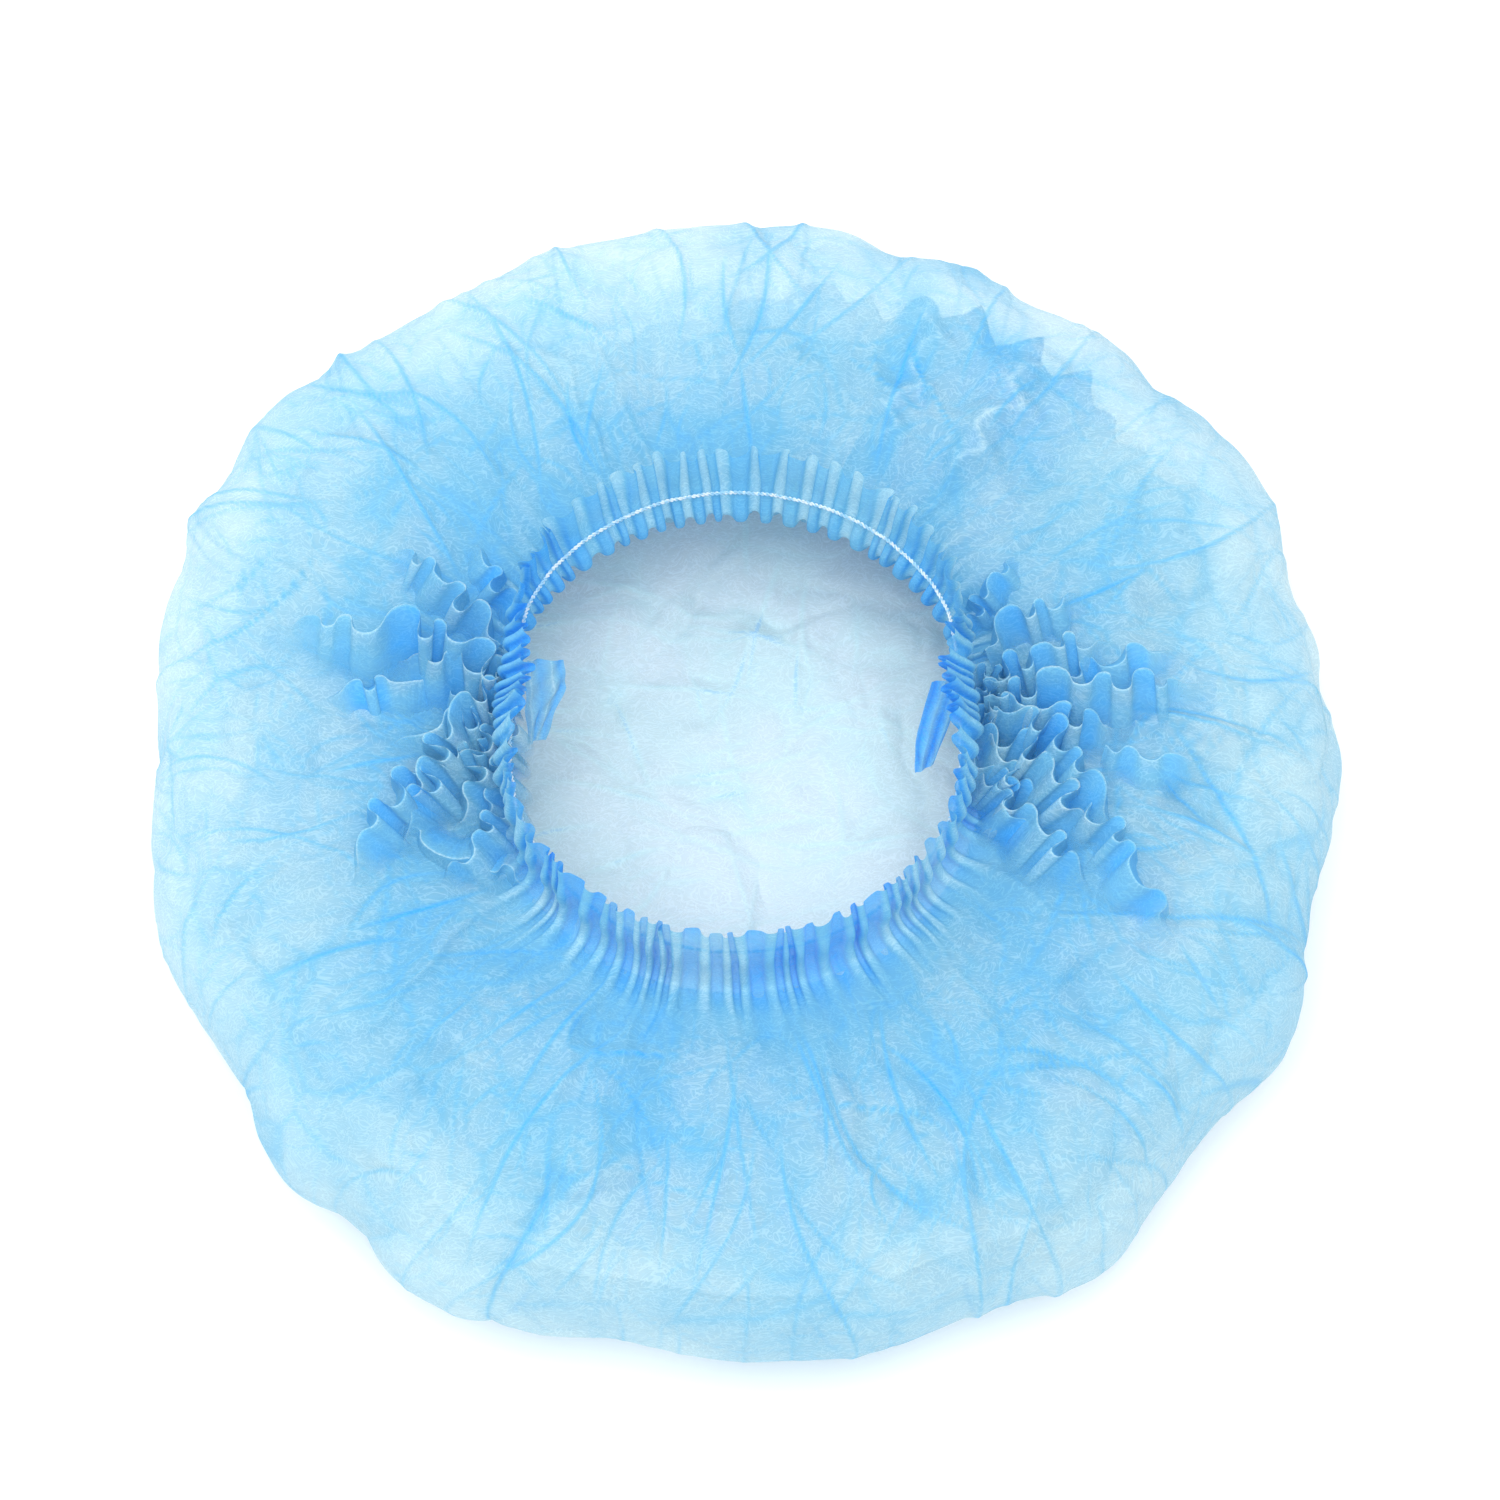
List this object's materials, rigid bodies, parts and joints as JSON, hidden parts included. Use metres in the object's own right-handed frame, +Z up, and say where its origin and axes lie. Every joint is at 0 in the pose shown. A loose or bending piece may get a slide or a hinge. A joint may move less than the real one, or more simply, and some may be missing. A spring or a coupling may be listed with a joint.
{
  "type": "bouffant cap",
  "caption": "Disposable gathered bouffant cap of thin non-woven fabric with a covered elastic, lying on its crown with its opening up.",
  "frame": {"origin": "middle of the bounding box at the base, where the crown rests", "axes": "+Z up, out of the cap's opening; +X to the right of the picture; +Y away from its camera"},
  "size_m": [0.3003, 0.3074, 0.0691],
  "materials": {
    "nonwoven_fabric": "thin translucent sky-blue spunbond polypropylene with fine random fibres, matt",
    "elastic_cover": "white twisted covered elastic thread, matt"
  },
  "bodies": {
    "root": {"crown": "nonwoven_fabric", "elastic_band": "elastic_cover", "end_tab_left": "nonwoven_fabric", "end_tab_right": "nonwoven_fabric"}
  },
  "joints": []
}
